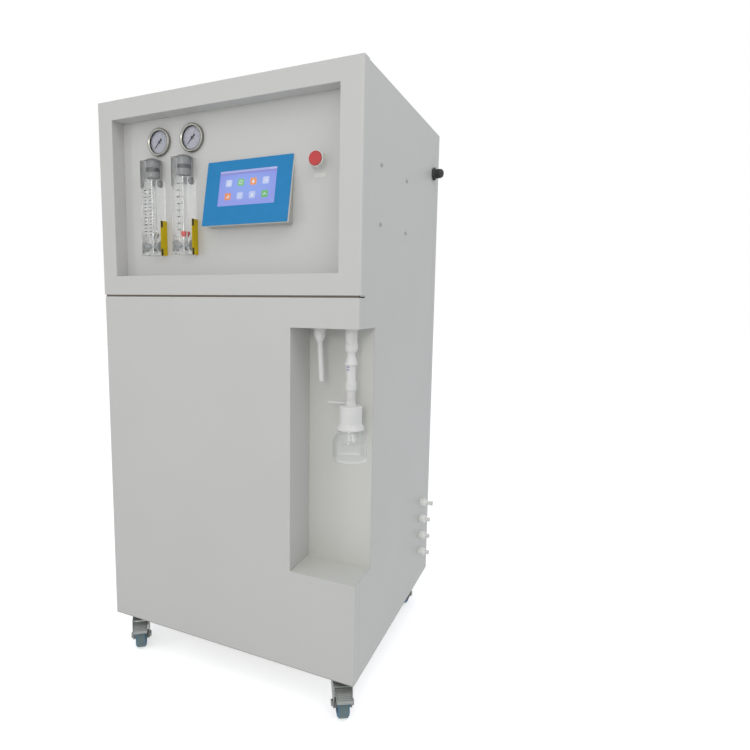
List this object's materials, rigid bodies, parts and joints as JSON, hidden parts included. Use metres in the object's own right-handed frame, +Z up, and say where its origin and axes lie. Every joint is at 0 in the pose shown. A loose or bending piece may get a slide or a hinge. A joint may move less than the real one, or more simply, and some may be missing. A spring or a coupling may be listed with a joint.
{
  "type": "reverse osmosis system",
  "caption": "Cabinet water purifier on casters with a recessed control panel of gauges, flow meters and touch display, and a corner niche with an outlet and a filling bell.",
  "frame": {"origin": "on the floor, under the centre of the object's box", "axes": "+Z up, -Y towards the front panels, +X towards the side with the water ports"},
  "size_m": [0.6324, 0.5776, 1.227],
  "materials": {
    "cabinet_paint": "fine textured powder coat",
    "screw_black": "blackened",
    "bright_steel": "polished bezel",
    "zinc_steel": "zinc plated",
    "dial_face": "printed dial",
    "clear_lens": "clear",
    "clear_acrylic": "polished clear acrylic",
    "pointer_black": "matt",
    "plug_grey": "moulded",
    "float_red": "moulded",
    "white_plastic": "moulded",
    "display_shell": "moulded",
    "fascia_blue": "printed film",
    "screen": "backlit screen",
    "button_red": "moulded",
    "black_plastic": "moulded",
    "wheel_blue": "moulded tread",
    "pump_grey": "painted",
    "valve_brass": "cast",
    "board_green": "coated board"
  },
  "bodies": {
    "cabinet": {"base_pan": "cabinet_paint", "lower_front_panel": "cabinet_paint", "upper_front_frame": "cabinet_paint", "left_side_panel": "cabinet_paint", "right_side_panel": "cabinet_paint", "back_cover": "cabinet_paint", "top_cover": "cabinet_paint", "mid_shelf": "cabinet_paint", "control_panel": "cabinet_paint", "niche_liner": "cabinet_paint", "panel_screws": "screw_black", "gauge_cases": "bright_steel", "flow_guide_rods": "bright_steel", "caster_plates": "zinc_steel", "caster_bolts": "zinc_steel", "power_supply": "zinc_steel", "gauge_dials": "dial_face", "gauge_lenses": "clear_lens", "left_flow_body": "clear_acrylic", "right_flow_body": "clear_acrylic", "filter_bell": "clear_acrylic", "flow_plugs": "plug_grey", "flow_ports": "plug_grey", "button_collar": "white_plastic", "water_ports": "white_plastic", "port_stubs": "white_plastic", "outlet_cup": "white_plastic", "outlet_tube": "white_plastic", "filter_adapter": "white_plastic", "check_valve": "white_plastic", "filter_stem": "white_plastic", "filter_cap": "white_plastic", "filter_vent": "white_plastic", "prefilter_housings": "white_plastic", "membrane_vessels": "white_plastic", "polishing_cartridges": "white_plastic", "process_tubing": "white_plastic", "display_housing": "display_shell", "display_fascia": "fascia_blue", "display_screen": "screen", "button_contact_block": "black_plastic", "cable_gland": "black_plastic", "booster_pump": "pump_grey", "solenoid_valves": "valve_brass", "control_board": "board_green"},
    "front_left_caster": {"front_left_fork": "zinc_steel"},
    "front_left_roller": {"front_left_wheel": "wheel_blue"},
    "front_right_caster": {"front_right_fork": "zinc_steel"},
    "front_right_roller": {"front_right_wheel": "wheel_blue"},
    "rear_left_caster": {"rear_left_fork": "zinc_steel"},
    "rear_left_roller": {"rear_left_wheel": "wheel_blue"},
    "rear_right_caster": {"rear_right_fork": "zinc_steel"},
    "rear_right_roller": {"rear_right_wheel": "wheel_blue"},
    "left_brake": {"left_brake_pedal": "zinc_steel"},
    "right_brake": {"right_brake_pedal": "zinc_steel"},
    "push_button": {"button_cap": "button_red"},
    "left_pointer": {"left_gauge_pointer": "pointer_black"},
    "right_pointer": {"right_gauge_pointer": "pointer_black"},
    "left_flow_float": {"left_float": "bright_steel"},
    "right_flow_float": {"right_float": "float_red"}
  },
  "joints": [
    {"name": "front_left_swivel", "type": "hinge", "parent": "cabinet", "child": "front_left_caster", "pos_m": [-0.27225, -0.23067, 0.071], "axis": [0, 0, 1], "continuous": true},
    {"name": "front_left_roll", "type": "hinge", "parent": "front_left_caster", "child": "front_left_roller", "pos_m": [-0.25686, -0.25038, 0.028], "axis": [0.788, 0.6157, 0], "continuous": true},
    {"name": "front_right_swivel", "type": "hinge", "parent": "cabinet", "child": "front_right_caster", "pos_m": [0.24375, -0.23067, 0.071], "axis": [0, 0, 1], "continuous": true},
    {"name": "front_right_roll", "type": "hinge", "parent": "front_right_caster", "child": "front_right_roller", "pos_m": [0.25625, -0.25233, 0.028], "axis": [0.866, 0.5, 0], "continuous": true},
    {"name": "rear_left_swivel", "type": "hinge", "parent": "cabinet", "child": "rear_left_caster", "pos_m": [-0.27225, 0.24333, 0.071], "axis": [0, 0, 1], "continuous": true},
    {"name": "rear_left_roll", "type": "hinge", "parent": "rear_left_caster", "child": "rear_left_roller", "pos_m": [-0.2637, 0.21983, 0.028], "axis": [0.9397, 0.342, 0], "continuous": true},
    {"name": "rear_right_swivel", "type": "hinge", "parent": "cabinet", "child": "rear_right_caster", "pos_m": [0.24375, 0.24333, 0.071], "axis": [0, 0, 1], "continuous": true},
    {"name": "rear_right_roll", "type": "hinge", "parent": "rear_right_caster", "child": "rear_right_roller", "pos_m": [0.24288, 0.21834, 0.028], "axis": [0.9994, -0.0349, 0], "continuous": true},
    {"name": "left_brake_press", "type": "hinge", "parent": "front_left_caster", "child": "left_brake", "pos_m": [-0.25193, -0.25668, 0.06], "axis": [0.788, 0.6157, 0], "range_deg": [0, 10], "stiffness_Nm_per_rad": 1, "springref_deg": -11.46},
    {"name": "right_brake_press", "type": "hinge", "parent": "front_right_caster", "child": "right_brake", "pos_m": [0.26025, -0.25925, 0.06], "axis": [0.866, 0.5, 0], "range_deg": [0, 10], "stiffness_Nm_per_rad": 1, "springref_deg": -11.46},
    {"name": "button_press", "type": "slide", "parent": "cabinet", "child": "push_button", "axis": [0, 1, 0], "range_m": [0, 0.004], "stiffness_N_per_m": 400, "springref_m": -0.002},
    {"name": "left_pointer_sweep", "type": "hinge", "parent": "cabinet", "child": "left_pointer", "pos_m": [-0.17775, -0.24268, 1.14025], "axis": [0, 1, 0], "range_deg": [0, 270], "stiffness_Nm_per_rad": 0.0005},
    {"name": "right_pointer_sweep", "type": "hinge", "parent": "cabinet", "child": "right_pointer", "pos_m": [-0.09375, -0.24268, 1.14025], "axis": [0, 1, 0], "range_deg": [0, 270], "stiffness_Nm_per_rad": 0.0005},
    {"name": "left_float_rise", "type": "slide", "parent": "cabinet", "child": "left_flow_float", "axis": [0, 0, 1], "range_m": [0, 0.091]},
    {"name": "right_float_rise", "type": "slide", "parent": "cabinet", "child": "right_flow_float", "axis": [0, 0, 1], "range_m": [0, 0.091]}
  ]
}
